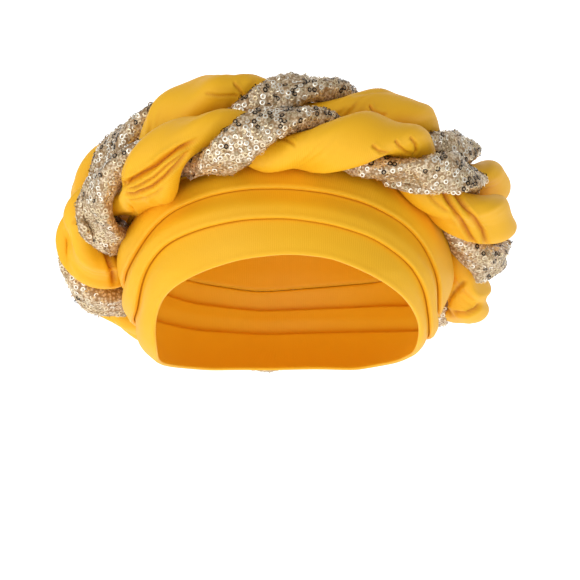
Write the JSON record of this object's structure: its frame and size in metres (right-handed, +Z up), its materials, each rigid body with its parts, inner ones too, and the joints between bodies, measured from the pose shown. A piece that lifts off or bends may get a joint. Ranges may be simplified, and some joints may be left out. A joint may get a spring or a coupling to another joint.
{
  "type": "turban beanie",
  "caption": "Pre-tied head wrap: a pleated stretch-satin cap with a padded braid of plain and sequinned tubes round it as a tilted ring.",
  "frame": {"origin": "centre of the opening that the head goes into, on the upright line through the middle of the head, at about the height of the rim over the ears", "axes": "+Z up along the wearer's head, -Y out of the forehead, +X to the wearer's left"},
  "size_m": [0.2443, 0.239, 0.1555],
  "materials": {
    "golden_satin": "matte stretch satin",
    "champagne_sequin": "cloth covered in small glossy ring sequins"
  },
  "bodies": {
    "root": {"crown": "golden_satin", "hem_band": "golden_satin", "middle_pleat": "golden_satin", "top_pleat": "golden_satin", "lower_twist_satin": "golden_satin", "upper_twist_satin": "golden_satin", "lower_twist_sequin": "champagne_sequin", "upper_twist_sequin": "champagne_sequin"}
  },
  "joints": []
}
